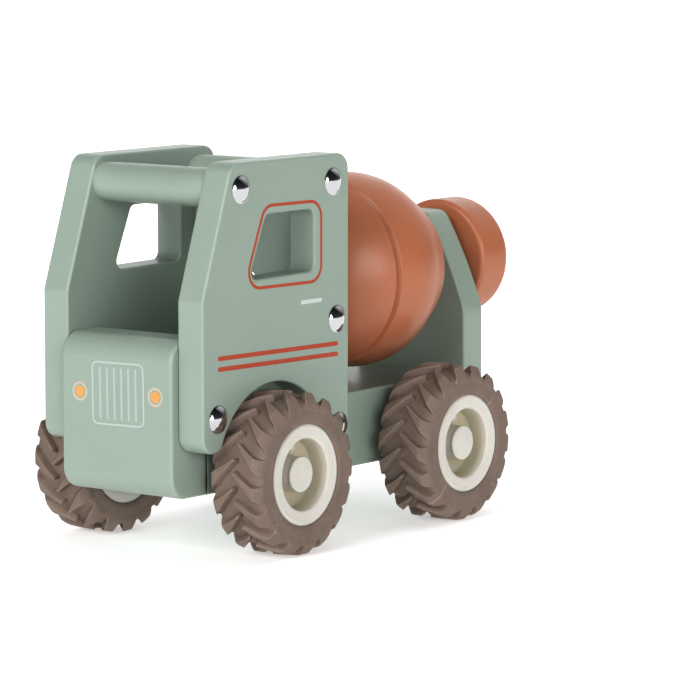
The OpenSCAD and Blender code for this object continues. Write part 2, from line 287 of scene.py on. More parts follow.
def painted_wood(name, colour, rough=0.36, grain=(1, 1, 6)):
    """Satin paint on wood: soft mottling, faint grain, and a painted highlight that makes edges a little
    lighter.

    grain is how far the fibres are drawn out along each axis.
    """
    n = Nodes(name)
    broad = n.mix(n.span(n.noise(55, 3), 0, 1), shade(colour, 0.985), shade(colour, 1.01))
    body = n.mix(n.span(n.noise(950, 2), 0, 0.5), broad, shade(colour, 1.05))
    edge = n.tree.nodes.new("ShaderNodeNewGeometry").outputs["Pointiness"]
    # painted highlight: edges lighter where light would catch their rounding
    edge_highlight = n.span(edge, 0, 0.22, 0.515, 0.56)
    n.link(n.mix(edge_highlight, body, shade(colour, 1.25)), n.shader.inputs["Base Color"])
    n.link(n.span(n.noise(140, 3), rough - 0.04, rough + 0.05), n.shader.inputs["Roughness"])
    peel = n.bump(n.noise(1400, 2), 0.10, 0.0001)
    fibres = n.noise(420, 3, tuple(1 / g for g in grain))
    n.link(n.bump(fibres, 0.06, 0.00015, peel), n.shader.inputs["Normal"])
    n.set(Specular_IOR_Level=0.5)
    return n.material


def rubber(name, colour):
    """Matt moulded rubber with dusty mottling, edges lighter from dust and from a painted highlight,
    painted shade in the hollows, and a fine pitted skin.
    """
    n = Nodes(name)
    dust = n.mix(n.span(n.noise(120, 4), 0, 1), shade(colour, 0.9), shade(colour, 1.08))
    speck = n.mix(n.span(n.noise(900, 1), 0, 0.35, 0.70, 0.80), dust, shade(colour, 1.7))
    edge = n.tree.nodes.new("ShaderNodeNewGeometry").outputs["Pointiness"]
    # edges lighter, partly from dust and partly as a painted highlight
    dust_and_edge_highlight = n.mix(n.span(edge, 0, 0.55, 0.51, 0.60), speck, shade(colour, 1.9))
    # painted shade: hollows between the lugs darker
    hollow_shade = n.mix(n.span(edge, 0.6, 0, 0.40, 0.49), dust_and_edge_highlight, shade(colour, 0.45))
    n.link(hollow_shade, n.shader.inputs["Base Color"])
    n.link(n.span(n.noise(300, 2), 0.55, 0.68), n.shader.inputs["Roughness"])
    skin = n.bump(n.noise(1800, 2), 0.18, 0.0001)
    n.link(n.bump(n.noise(260, 3), 0.12, 0.0003, skin), n.shader.inputs["Normal"])
    n.set(Specular_IOR_Level=0.4)
    return n.material


def moulded_plastic(name, colour):
    """Fine matt injection-moulded plastic that lets a little light in, with painted shade inside a hub's
    recess.
    """
    n = Nodes(name)
    tone = n.mix(n.span(n.noise(90, 2), 0, 1), shade(colour, 0.975), shade(colour, 1.015))
    # painted shade: the hub's colour goes over to a darker, warmer one inside its recess
    depth = n.tree.nodes.new("ShaderNodeAttribute")
    depth.attribute_name = RECESS_SHADE
    n.link(n.mix(depth.outputs["Fac"], tone, RECESS_SHADE_COLOUR), n.shader.inputs["Base Color"])
    n.link(n.span(n.noise(400, 2), 0.42, 0.52), n.shader.inputs["Roughness"])
    n.link(n.bump(n.noise(2200, 2), 0.08, 0.00008), n.shader.inputs["Normal"])
    n.set(Subsurface_Weight=0.4, Subsurface_Scale=0.004)
    return n.material


def metal(name, colour, rough, grain):
    """Metal with very fine marks; grain is how strong they are."""
    n = Nodes(name)
    n.link(
        n.mix(n.noise(300, 2), shade(colour, 0.95), shade(colour, 1.04)),
        n.shader.inputs["Base Color"],
    )
    n.link(n.span(n.noise(700, 3), rough * 0.8, rough * 1.4), n.shader.inputs["Roughness"])
    n.link(n.bump(n.noise(1600, 2), grain, 0.00005), n.shader.inputs["Normal"])
    n.set(Metallic=1.0)
    return n.material


def ink(name, colour):
    """Pad-printed ink: nearly even, slightly broken where it lies on the paint."""
    n = Nodes(name)
    n.link(
        n.mix(n.span(n.noise(1500, 2), 0, 1), shade(colour, 0.93), shade(colour, 1.04)),
        n.shader.inputs["Base Color"],
    )
    n.link(n.span(n.noise(500, 2), 0.38, 0.48), n.shader.inputs["Roughness"])
    return n.material


def sanded_wood(name, colour):
    """Bare turned wood with grain along +Y."""
    n = Nodes(name)
    rings = n.noise(700, 4, (1, 0.06, 1))
    n.link(
        n.mix(n.span(rings, 0, 1), shade(colour, 0.72), shade(colour, 1.15)),
        n.shader.inputs["Base Color"],
    )
    n.link(n.span(rings, 0.5, 0.65), n.shader.inputs["Roughness"])
    n.link(n.bump(rings, 0.25, 0.0002), n.shader.inputs["Normal"])
    return n.material


GREEN = (0.290, 0.354, 0.304, 1)
TERRACOTTA = (0.43, 0.165, 0.085, 1)
green = painted_wood("green_paint", GREEN)
terracotta = painted_wood("terracotta_paint", TERRACOTTA, rough=0.34, grain=(6, 1, 6))
tyre_rubber = rubber("tyre_rubber", (0.205, 0.155, 0.126, 1))
cream = moulded_plastic("cream_plastic", (0.61, 0.59, 0.545, 1))
chrome = metal("screw_chrome", (0.62, 0.62, 0.63, 1), 0.09, 0.03)
steel = metal("axle_steel", (0.60, 0.60, 0.61, 1), 0.3, 0.1)
bare = sanded_wood("bare_wood", (0.62, 0.43, 0.25, 1))
orange_ink = ink("orange_ink", (0.42, 0.060, 0.018, 1))
white_ink = ink("white_ink", (0.55, 0.60, 0.585, 1))
grille_ink = ink("grille_ink", (0.385, 0.455, 0.425, 1))
outline_ink = ink("outline_ink", (0.44, 0.505, 0.48, 1))
cream_ink = ink("cream_ink", (0.50, 0.45, 0.345, 1))
amber_ink = ink("amber_ink", (0.64, 0.335, 0.105, 1))

# ---------- cab side panels ----------

# rounding of every cut edge of board
EDGE = 0.9
LENGTH = panel_high.y - panel_low.y
TOP = panel_high.z
KNEE_Z = 92.9
SLOPE_RUN = 16.3
FOOT_Z = 39.4
HEEL_Z = panel_low.z
FOOT_ROUND, ROOF_ROUND, KNEE_ROUND, HEEL_ROUND = 6, 6, 4, 4
# the wheel arch, and the angle at each of its ends that the corners' rounds take up
ARCH_Y, ARCH_Z, ARCH_R = 40.3, 29.1, 31.9
ARCH_TRIM = 4


def arch_angle(z):
    """Angle from the arch's centre to where it meets the height z, on the rear side."""
    return math.degrees(math.asin((z - ARCH_Z) / ARCH_R))


def panel_outline():
    """Anticlockwise in (distance behind the front edge, height), from the rear of the arch."""
    start, end = 180 - arch_angle(FOOT_Z) - ARCH_TRIM, arch_angle(HEEL_Z) + ARCH_TRIM
    arch = arc(ARCH_Y, ARCH_Z, ARCH_R, start, end, 40)
    foot = Vector((ARCH_Y - ARCH_R * math.cos(math.radians(arch_angle(FOOT_Z))), FOOT_Z))
    heel = Vector((ARCH_Y + ARCH_R * math.cos(math.radians(arch_angle(HEEL_Z))), HEEL_Z))
    body = rounded(
        [
            (LENGTH, HEEL_Z, HEEL_ROUND),
            (LENGTH, TOP, ROOF_ROUND),
            (SLOPE_RUN, TOP, ROOF_ROUND),
            (0, KNEE_Z, KNEE_ROUND),
            (0, FOOT_Z, FOOT_ROUND),
        ]
    )
    foot_round = soften(body[-1], foot, arch[0])
    heel_round = soften(arch[-1], heel, heel + Vector((2.5, 0)))
    return body[:-1] + foot_round + arch[1:-1] + heel_round


# corners (distance behind the front edge, height, radius)
WINDOW = [(25.8, 98.4, 3), (63, 98.9, 3), (63, 121.3, 3), (35.7, 121.2, 3)]


def side_place(side, face, out):
    """Maps (length, height, depth) to the row frame.

    Depth runs inwards from the outer face where out is 1, and outwards where it is -1.
    """

    def place(u, v, w):
        return Vector((side * mm(face - out * w), mm(FRONT + u), mm(v)))

    return place


thick = panel_high.x - panel_low.x
for side, name in ((1, "left"), (-1, "right")):
    bm = bmesh.new()
    place = side_place(side, panel_high.x, 1)
    plate(bm, [panel_outline(), list(reversed(rounded(WINDOW)))], thick, EDGE, EDGE, place)
    node = name + "_side_panel"
    new_piece("painted_" + node, bm, green, "body", [node])

# ---------- other wooden pieces ----------


def along_y(origin_y):
    """Maps (x, height, depth) to the row frame, depth running backwards from origin_y."""

    def place(u, v, w):
        return Vector((mm(u), mm(origin_y + w), mm(v)))

    return place


def rectangle(low, high, r):
    """Rectangle in (x, height) with rounded corners, anticlockwise."""
    return rounded([(low.x, low.z, r), (high.x, low.z, r), (high.x, high.z, r), (low.x, high.z, r)])


BLOCK_ROUND, BLOCK_REAR_ROUND, BLOCK_EDGE = 8, 0.6, 1.3
CHASSIS_ROUND, CHASSIS_END_ROUND = 1, 0.2
WALL_ROUND = 0.3


def across(u, v, w):
    """Maps (y, height, depth) to the row frame, depth running from the block's left face inwards."""
    return Vector((mm(block_high.x - w), mm(u), mm(v)))


bm = bmesh.new()
outline = rounded(
    [
        (block_high.y, block_low.z, BLOCK_REAR_ROUND),
        (block_high.y, block_high.z, BLOCK_REAR_ROUND),
        (block_low.y, block_high.z, BLOCK_ROUND),
        (block_low.y, block_low.z, BLOCK_ROUND),
    ],
    14,
)
plate(bm, [outline], block_high.x - block_low.x, BLOCK_EDGE, BLOCK_EDGE, across, 5)
new_piece("painted_front_block", bm, green, "body", ["front_block"])

bm = bmesh.new()
outline = rectangle(chassis_low, chassis_high, CHASSIS_ROUND)
length = chassis_high.y - chassis_low.y
plate(bm, [outline], length, CHASSIS_END_ROUND, CHASSIS_END_ROUND, along_y(chassis_low.y))
new_piece("painted_chassis_block", bm, green, "body", ["chassis_block"])

bm = bmesh.new()
outline = rectangle(wall_low, wall_high, WALL_ROUND)
plate(bm, [outline], wall_high.y - wall_low.y, EDGE, EDGE, along_y(wall_low.y))
new_piece("painted_cab_back_wall", bm, green, "body", ["cab_back_wall"])

# the board's sides are upright to the knee, and follow a large circle above it
BOARD_KNEE_Z = 74.5
BOARD_SIDE_R = 166.5
BOARD_KNEE_A = 18.8
BOARD_KNEE_REACH, BOARD_KNEE_TRIM = 2.5, 0.9
BOARD_ROUND = 6
BOARD_SCREW_X, BOARD_SCREW_Z, BOARD_SCREW_R = 15, 36, 4.03


def board_half():
    """Right half of the board's outline, from the bottom to the top, in (x, height)."""
    half = board_high.x
    knee = math.radians(BOARD_KNEE_A)
    cx = half - BOARD_SIDE_R * math.cos(knee)
    cz = BOARD_KNEE_Z - BOARD_SIDE_R * math.sin(knee)
    round_z = board_high.z - BOARD_ROUND
    end = math.asin((round_z - cz) / (BOARD_SIDE_R - BOARD_ROUND))
    round_x = cx + (BOARD_SIDE_R - BOARD_ROUND) * math.cos(end)
    end = math.degrees(end)
    knee_point = Vector((half, BOARD_KNEE_Z))
    side = arc(cx, cz, BOARD_SIDE_R, BOARD_KNEE_A + BOARD_KNEE_TRIM, end, 16)
    start = [Vector((half, board_low.z))]
    start += soften(knee_point - Vector((0, BOARD_KNEE_REACH)), knee_point, side[0])
    return start + side[1:-1] + arc(round_x, round_z, BOARD_ROUND, end, 90, 8)


bm = bmesh.new()
half_line = board_half()
outline = half_line + [Vector((-p.x, p.y)) for p in reversed(half_line)]
bores = [circle(x, BOARD_SCREW_Z, BOARD_SCREW_R, True) for x in (-BOARD_SCREW_X, BOARD_SCREW_X)]
thick = board_high.y - board_low.y
plate(bm, [outline], thick, EDGE, EDGE, along_y(board_low.y), bores=bores)
new_piece("painted_rear_support_board", bm, green, "body", ["rear_support_board"])

for node in ("front_roof_dowel", "rear_roof_dowel"):
    low, high = box_mm(node)
    r = (high.z - low.z) / 2
    centre = (low + high) / 2

    def place(x, y, s, c=centre):
        return Vector((mm(s), mm(c.y + x), mm(c.z + y)))

    bm = bmesh.new()
    length = high.x - low.x
    profile = [(0, low.x)] + [(r, low.x + length * k / 6) for k in range(7)] + [(0, high.x)]
    revolve(bm, profile, place)
    new_piece("painted_" + node, bm, green, "body", [node])

# ---------- drum and spout ----------

# distances along the drum's axis are from the support board's middle, backwards
DRUM_R = (drum_high.z - drum_low.z) / 2
BELLY = -46.4
REAR_CURVE_R = 28.6
FRONT_CURVE_R = 34
GROOVE_AT, GROOVE_DEEP, GROOVE_HALF = -59.1, 1.9, 1.15
NECK_AT, NECK_END_R, NECK_ROUND, NECK_POWER = -75, 17.5, 1.5, 1.3
TAPER_A, REAR_ROUND = math.radians(27), 9
DRUM_STEP = 0.2


def barrel_r(s):
    """Drum radius at s between the neck and the taper."""
    r = REAR_CURVE_R if s > BELLY else FRONT_CURVE_R
    radius = DRUM_R - r + math.sqrt(r**2 - (s - BELLY) ** 2)
    if abs(s - GROOVE_AT) < GROOVE_HALF:
        radius -= GROOVE_DEEP * (1 - ((s - GROOVE_AT) / GROOVE_HALF) ** 2) ** 1.2
    return radius


def along_drum(x, y, s):
    """Maps a place at s on the drum's axis to the row frame."""
    return Vector((mm(x), mm(BOARD_MID + s), mm(DRUM_Z + y)))


front_s, rear_s = drum_low.y - BOARD_MID, drum_high.y - BOARD_MID
profile = [(0, front_s), (NECK_END_R - NECK_ROUND, front_s)]
for a in (0.4, 0.8, 1.2, 1.57):
    r = NECK_END_R - NECK_ROUND * (1 - math.sin(a))
    profile.append((r, front_s + NECK_ROUND * (1 - math.cos(a))))
neck_s, neck_r = front_s + NECK_ROUND, barrel_r(NECK_AT)
for k in range(1, 8):
    t = k / 7
    r = NECK_END_R + (neck_r - NECK_END_R) * t**NECK_POWER
    profile.append((r, neck_s + (NECK_AT - neck_s) * t))
count = int((BELLY - NECK_AT) / DRUM_STEP)
places = [NECK_AT + DRUM_STEP * k for k in range(1, count)]
profile += [(barrel_r(s), s) for s in places]
centre_r = DRUM_R - REAR_CURVE_R
for k in range(19):
    a = TAPER_A * k / 18
    profile.append((centre_r + REAR_CURVE_R * math.cos(a), BELLY + REAR_CURVE_R * math.sin(a)))
round_s = rear_s - REAR_ROUND
round_r = centre_r + (BELLY - round_s) * math.tan(TAPER_A)
round_r += (REAR_CURVE_R - REAR_ROUND) / math.cos(TAPER_A)
for k in range(15):
    a = TAPER_A + (math.pi / 2 - TAPER_A) * k / 14
    profile.append((round_r + REAR_ROUND * math.cos(a), round_s + REAR_ROUND * math.sin(a)))
profile.append((0, rear_s))
bm = bmesh.new()
revolve(bm, profile, along_drum, 160)
new_piece("turned_mixing_drum", bm, terracotta, "drum", ["mixing_drum"])

SPOUT_R = (spout_high.z - spout_low.z) / 2
SPOUT_FRONT_ROUND, SPOUT_REAR_ROUND = 2, 4.6
near, far = spout_low.y - BOARD_MID, spout_high.y - BOARD_MID
profile = [(0, near)]
for k in range(7):
    a = math.pi / 2 * k / 6
    r = SPOUT_R - SPOUT_FRONT_ROUND * (1 - math.sin(a))
    profile.append((r, near + SPOUT_FRONT_ROUND * (1 - math.cos(a))))
for k in range(11):
    a = math.pi / 2 * (1 - k / 10)
    r = SPOUT_R - SPOUT_REAR_ROUND * (1 - math.sin(a))
    profile.append((r, far - SPOUT_REAR_ROUND * (1 - math.cos(a))))
profile.append((0, far))
bm = bmesh.new()
revolve(bm, profile, along_drum, 128)
new_piece("turned_drum_spout", bm, terracotta, "drum", ["drum_spout"])

# ---------- wheels ----------

tyre_low, tyre_high = box_mm("front_left_tyre")
hub_low, hub_high = box_mm("front_left_hub")
WHEEL_Z = (tyre_high.z + tyre_low.z) / 2
TYRE_R = WHEEL_Z
TYRE_MID = (tyre_low.x + tyre_high.x) / 2
BOSS_START, HUB_FACE = hub_low.x, hub_high.x
HUB_W = 21.4
RECESS_DEPTH = 8.4
LUGS = 17
# radius of a lug's round tip, how far the tips pass the tread's middle, and how far the pattern
# lies outwards of it
LUG_TIP, TIP_LAP, PATTERN_SHIFT = 0.9, 0.5, 0.5
# how steeply a lug's two edges run back from its tip, and the bend of its upper one
UPPER_SLOPE, UPPER_BEND, LOWER_SLOPE = 0.74, 0.012, 1.06
# on the sidewall, beyond this distance and under this radius, the lugs grow wider
SIDE_X, SIDE_R, SIDE_LOWER, SIDE_UPPER = 8, 28.6, 0.10, 0.40
LUG_SOFT = 0.65
# how far the inner row of lugs runs behind the outer one, as a part of the pitch
ROW_LAG = 9.8 / 21.18
COLUMNS_PER_LUG = 44
SECTION_STEP = 0.36
# the tyre's closed seat under its beads
SEAT_X, SEAT_SHRINK = 8.5, 0.985

# half cross-section from the outer bead to the middle: (distance from the middle, radius) of the
# plain carcass and of the envelope over the lugs
HALF_SECTION = [
    ((9.2, 17.2), (9.2, 17.2)),
    ((10.3, 18.1), (10.3, 18.1)),
    ((11.1, 18.9), (11.1, 18.9)),
    ((11.35, 20.0), (11.35, 20.0)),
    ((11.3, 21.6), (11.3, 21.6)),
    ((11.35, 21.9), (11.35, 21.9)),
    ((11.15, 22.3), (11.15, 22.3)),
    ((11.2, 23.6), (11.25, 23.6)),
    ((11.15, 24.3), (11.3, 24.7)),
    ((10.9, 25.0), (11.1, 25.8)),
    ((10.0, 25.8), (10.2, 27.4)),
    ((8.8, 26.2), (9.1, 28.75)),
    ((7.0, 26.4), (8.2, 29.0)),
    ((0.0, 26.5), (0.0, 29.2)),
]


def section(step):
    """Both half sections joined and filled in, from the outer bead to the inner one."""

    def line(which):
        near_half = [pair[which] for pair in HALF_SECTION]
        return near_half + [(-x, r) for x, r in reversed(near_half[:-1])]

    plain, over = line(0), line(1)
    points = []
    for i in range(len(plain) - 1):
        length = math.dist(over[i], over[i + 1])
        parts = max(1, round(length / step))
        for k in range(parts):
            t = k / parts
            a = [plain[i][j] + (plain[i + 1][j] - plain[i][j]) * t for j in (0, 1)]
            b = [over[i][j] + (over[i + 1][j] - over[i][j]) * t for j in (0, 1)]
            points.append((a, b))
    points.append((plain[-1], over[-1]))
    return points


def smooth(t):
    """Eases from 0 to 1."""
    t = min(1.0, max(0.0, t))
    return t * t * (3 - 2 * t)


def lug_height(x, r, along):
    """From 0 on the carcass to 1 on a lug's top.

    along is the distance round the tread behind the tip's middle.
    """
    u = x - TIP_LAP
    if u < -LUG_TIP:
        return 0.0
    upper = -LUG_TIP + UPPER_SLOPE * u - UPPER_BEND * u * u
    lower = LUG_TIP + LOWER_SLOPE * u
    if u < 0:
        bow = math.sqrt(LUG_TIP**2 - u * u)
        upper, lower = -bow, bow
    side_drop = max(0.0, SIDE_R - r) if x > SIDE_X else 0.0
    lower += SIDE_LOWER * side_drop
    upper -= SIDE_UPPER * side_drop
    inside = min(along - upper, lower - along)
    return smooth(inside / LUG_SOFT + 0.5)


def tyre_mesh():
    """One moulded tyre about the +X axis, with its middle at x = 0 and +X outwards."""
    bm = bmesh.new()
    columns = LUGS * COLUMNS_PER_LUG
    pitch = 2 * math.pi / LUGS
    rows = []
    for plain, over in section(SECTION_STEP):
        row = []
        x_here = over[0] - PATTERN_SHIFT
        for i in range(columns):
            angle = 2 * math.pi * i / columns
            height = 0.0
            for half_side, offset in ((1, 0.0), (-1, ROW_LAG)):
                turn = (-angle / pitch + offset) % 1.0
                for whole in (-1, 0, 1):
                    along = (turn + whole) * pitch * TYRE_R
                    height = max(height, lug_height(half_side * x_here, over[1], along))
            x = plain[0] + (over[0] - plain[0]) * height
            r = plain[1] + (over[1] - plain[1]) * height
            row.append(bm.verts.new((mm(x), -mm(r) * math.cos(angle), mm(r) * math.sin(angle))))
        rows.append(row)

    def seat(row, x):
        return [bm.verts.new((mm(x), v.co.y * SEAT_SHRINK, v.co.z * SEAT_SHRINK)) for v in row]

    rows.append(seat(rows[-1], -SEAT_X))
    rows.insert(0, seat(rows[0], SEAT_X))
    rows.append(rows[0])
    for low, high in zip(rows, rows[1:]):
        for i in range(columns):
            bm.faces.new((low[i - 1], low[i], high[i], high[i - 1]))
    return bm


def hub_profile():
    """(radius, distance from the truck's middle) from the inner boss round to the recess floor."""
    inner, face = HUB_FACE - HUB_W, HUB_FACE
    floor = face - RECESS_DEPTH
    return [
        (2.0, BOSS_START),
        (4.8, BOSS_START),
        (5.2, BOSS_START + 0.4),
        (5.2, floor - 4.6),
        (5.9, floor - 4.0),
        (11.6, floor - 4.0),
        (12.4, floor - 4.8),
        (13.6, inner + 0.6),
        (14.2, inner),
        (17.6, inner),
        (18.3, inner + 0.5),
        (18.4, inner + 1.4),
        (17.2, inner + 2.6),
        (16.9, inner + 4),
        (16.9, face - 4),
        (17.2, face - 3),
        (18.2, face - 2.0),
        (18.4, face - 1.5),
        (18.35, face - 0.9),
        (18.1, face - 0.45),
        (17.7, face - 0.12),
        (17.2, face),
        (16.8, face - 0.02),
        (16.5, face - 0.16),
        (16.2, face - 0.2),
        (15.4, face - 0.2),
        (15.1, face - 0.3),
        (14.2, face - 0.32),
        (13.6, face - 0.4),
        (13.15, face - 0.62),
        (12.95, face - 1.0),
        (12.7, face - 3.5),
        (12.4, floor + 0.8),
        (12.1, floor + 0.25),
        (11.5, floor),
        (6.9, floor),
        (6.4, floor + 0.3),
        (6.2, floor + 1.0),
        (6.0, face - 3.5),
        (2.0, face - 3.5),
    ]


def add_box(bm, low, high, matrix):
    """A small bevelled block between two corners, moved by matrix."""
    made = bmesh.ops.create_cube(bm, size=1)["verts"]
    size = high - low
    for v in made:
        t = v.co + Vector((0.5, 0.5, 0.5))
        v.co = matrix @ (low + Vector((t.x * size.x, t.y * size.y, t.z * size.z)))
    edges = list({e for v in made for e in v.link_edges})
    bmesh.ops.bevel(bm, geom=edges, offset=mm(BOX_BEVEL), segments=3, affect="EDGES")


# the rib on the recess's wall: angle round the hub, half width, inner and outer radius, top
GUSSET_A, GUSSET_HALF, GUSSET_IN, GUSSET_OUT, GUSSET_DROP = 118, 1.1, 10.4, 13.0, 2.6
BOX_BEVEL = 0.35
# the recess's painted shade: radii and depth where it applies, where it starts, and at what depth it is
# full
SHADE_IN, SHADE_OUT, SHADE_END, SHADE_START, SHADE_FULL = 6.3, 13, 9, 0.8, 3.5


def recess_shade(v):
    """How much painted shade the vertex takes from lying in the recess, from 0 to 1."""
    r = math.hypot(v.co.y, v.co.z) * 1000
    depth = HUB_FACE - v.co.x * 1000
    if SHADE_IN < r < SHADE_OUT and depth < SHADE_END:
        return min(1.0, max(0.0, depth - SHADE_START) / SHADE_FULL)
    return 0.0


def along_axle(x, y, s):
    """Maps a place at s on the axle to the axle's own frame."""
    return Vector((mm(s), mm(x), mm(y)))


def hub_mesh():
    """Moulded hub about the +X axis, +X outwards, at its true distance from the truck's middle."""
    bm = bmesh.new()
    revolve(bm, hub_profile(), along_axle, 128)
    # painted shade, from none outside the recess to full inside it
    recess_shade_layer = bm.verts.layers.float.new(RECESS_SHADE)
    for v in bm.verts:
        v[recess_shade_layer] = recess_shade(v)
    turn = Matrix.Rotation(math.radians(GUSSET_A), 4, "X")
    start, end = HUB_FACE - RECESS_DEPTH - 0.3, HUB_FACE - GUSSET_DROP
    low = along_axle(GUSSET_IN, -GUSSET_HALF, start)
    high = along_axle(GUSSET_OUT, GUSSET_HALF, end)
    add_box(bm, low, high, turn)
    return bm


CAP_DROP = 2


def cap_profile():
    """(radius, distance from the truck's middle) of the round cap, from its back to its top."""
    top = HUB_FACE - CAP_DROP
    return [
        (0, top - 1.5),
        (6.1, top - 1.5),
        (6.4, top - 1.2),
        (6.4, top - 0.45),
        (6.25, top - 0.12),
        (5.9, top),
        (3.5, top + 0.02),
        (0, top + 0.02),
    ]


# angle, above straight ahead, of one outer lug tip on each wheel
PHASE = {"front_left": 5.6, "rear_left": 11.5, "front_right": 2.7, "rear_right": 3.0}

tyre_source = tyre_mesh()
hub_source = hub_mesh()
for key, phase in PHASE.items():
    end, side_name = key.split("_")
    side = 1 if side_name == "left" else -1
    body = end + "_wheels"
    low, high = box_mm(key + "_tyre")
    centre_y = (low.y + high.y) / 2
    flat_turn = Matrix.Rotation(0 if side > 0 else math.pi, 4, "Z")
    turn = flat_turn @ Matrix.Rotation(math.radians(-phase), 4, "X")
    move = Matrix.Translation((0, mm(centre_y), mm(WHEEL_Z)))
    outwards = Matrix.Translation((mm(TYRE_MID), 0, 0))
    bm = tyre_source.copy()
    bmesh.ops.transform(bm, matrix=move @ turn @ outwards, verts=bm.verts)
    new_piece("moulded_" + key + "_tyre", bm, tyre_rubber, body, [key + "_tyre"], 60)
    bm = hub_source.copy()
    bmesh.ops.transform(bm, matrix=move @ flat_turn, verts=bm.verts)
    new_piece("moulded_" + key + "_hub", bm, cream, body, [key + "_hub"], 50)
    bm = bmesh.new()
    revolve(bm, cap_profile(), along_axle, 96)
    bmesh.ops.transform(bm, matrix=move @ flat_turn, verts=bm.verts)
    new_piece("moulded_" + key + "_cap", bm, cream, body, [key + "_cap"], 50)

# ---------- screws, axles and other metal ----------

HEAD_R, HEAD_H, SHANK_R, SHANK_LEN = 5, 1.9, 1.75, 26
PIVOT_SHANK_R = 2.5
DOME_R = (HEAD_R**2 + HEAD_H**2) / (2 * HEAD_H)
DOME_STEPS = 14
HEAD_LIP, SHANK_BEVEL, SHANK_BEVEL_LEN = 0.15, 0.2, 0.3
# (distance behind the panel's front edge, height)
HEADS = [(21.3, 130.9), (74, 130.4), (76.2, 80.4), (8.2, 51), (77.3, 41.2)]


def dome_profile(shank_len, shank_r=SHANK_R):
    """Domed head on its shank; the head stands on 0 and points to +."""
    spread = math.asin(HEAD_R / DOME_R)
    points = [
        (0, -shank_len),
        (shank_r - SHANK_BEVEL, -shank_len),
        (shank_r, -shank_len + SHANK_BEVEL_LEN),
        (shank_r, 0),
        (HEAD_R - HEAD_LIP, 0.0),
        (HEAD_R, HEAD_LIP),
    ]
    for k in range(1, DOME_STEPS + 1):
        a = spread * (1 - k / DOME_STEPS)
        points.append((DOME_R * math.sin(a), HEAD_H - DOME_R * (1 - math.cos(a))))
    return points


for side, node in ((1, "left_cap_screws"), (-1, "right_cap_screws")):
    bm = bmesh.new()
    face = panel_high.x
    for y, z in HEADS:

        def place(a, b, s, y=y, z=z, side=side):
            return Vector((side * mm(face + s), mm(FRONT + y + a), mm(z + b)))

        revolve(bm, dome_profile(SHANK_LEN), place, 64)
    new_piece("domed_" + node, bm, chrome, "body", [node])

low, high = box_mm("drum_pivot_screw")
head_y = low.y + HEAD_H
bm = bmesh.new()
revolve(
    bm,
    dome_profile(high.y - head_y, PIVOT_SHANK_R),
    lambda a, b, s: Vector((mm(a), mm(head_y - s), mm(DRUM_Z + b))),
    64,
)
new_piece("domed_drum_pivot_screw", bm, chrome, "drum", ["drum_pivot_screw"])

# CAD pieces that are shown as they are
for node, material in (
    ("front_axle", steel),
    ("rear_axle", steel),
    ("front_axle_washers", steel),
    ("rear_axle_washers", steel),
    ("rear_board_screws", steel),
    ("drum_rear_shaft", bare),
    ("spout_spacer", bare),
):
    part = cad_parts[node]
    part.data.materials.clear()
    part.data.materials.append(material)

# ---------- printed trim ----------

PRINT_T, PRINT_ROUND = 0.05, 0.01


def ribbon(bm, points, width, place, closed=False):
    """A thin printed line along points, with its top PRINT_T above the surface."""
    count = len(points)
    sides = []
    for i in range(count):
        before = points[i - 1] if closed or i > 0 else points[i]
        after = points[(i + 1) % count] if closed or i < count - 1 else points[i]
        u = (after - before).normalized()
        n = Vector((-u.y, u.x)) * width / 2
        p, q = points[i] + n, points[i] - n
        corners = ((p, 0), (p, PRINT_T), (q, PRINT_T), (q, 0))
        sides.append([bm.verts.new(place(v.x, v.y, w)) for v, w in corners])
    pairs = list(zip(sides, sides[1:]))
    if closed:
        pairs.append((sides[-1], sides[0]))
    for a, b in pairs:
        for k in range(4):
            bm.faces.new((a[k], a[(k + 1) % 4], b[(k + 1) % 4], b[k]))
    if not closed:
        bm.faces.new(sides[0])
        bm.faces.new(sides[-1])


def bar(bm, a, b, width, place):
    """A printed bar from a to b with rounded ends."""
    a, b = Vector(a), Vector(b)
    turn = math.degrees(math.atan2(b.y - a.y, b.x - a.x))
    r = width / 2
    outline = arc(b.x, b.y, r, turn - 90, turn + 90, 8)
    outline += arc(a.x, a.y, r, turn + 90, turn + 270, 8)
    plate(bm, [outline], PRINT_T, 0.0, PRINT_ROUND, place, 1)


def disc(bm, x, y, r, place):
    """A printed disc."""
    plate(bm, [circle(x, y, r)], PRINT_T, 0.0, PRINT_ROUND, place, 1)


# side print: heights of each stripe's two ends, between two distances behind the front edge
STRIPE_T, STRIPE_FROM, STRIPE_TO = 1.6, 9.0, 76.0
STRIPES = ((72.4, 71.4), (68.6, 67.6))
HANDLE_T, HANDLE_FROM, HANDLE_TO, HANDLE_Z = 1.5, 55.8, 66.5, 88.15
WINDOW_LINE = 1.1
WINDOW_TRIM = [(22.7, 95.5, 6), (67, 95, 6), (67, 124, 6), (34.7, 124.3, 6)]
for side, name in ((1, "left"), (-1, "right")):
    place = side_place(side, panel_high.x, -1)
    bm = bmesh.new()
    ribbon(bm, rounded(WINDOW_TRIM), WINDOW_LINE, place, closed=True)
    for front_z, rear_z in STRIPES:
        bar(bm, (STRIPE_FROM, front_z), (STRIPE_TO, rear_z), STRIPE_T, place)
    new_piece(name + "_panel_orange_print", bm, orange_ink, "body")
    bm = bmesh.new()
    bar(bm, (HANDLE_FROM, HANDLE_Z), (HANDLE_TO, HANDLE_Z), HANDLE_T, place)
    new_piece(name + "_panel_white_print", bm, white_ink, "body")

# the front print's middle, a little off the block's own, and its tilt
PRINT_X, PRINT_Z = 0.9, 58.35
PRINT_TILT = math.radians(0.9)


def on_front(u, v, w):
    """Maps a place on the front print, from its middle, to the front block's face."""
    c, s = math.cos(PRINT_TILT), math.sin(PRINT_TILT)
    x, z = PRINT_X + u * c - v * s, PRINT_Z + u * s + v * c
    return Vector((mm(x), mm(block_low.y - w), mm(z)))


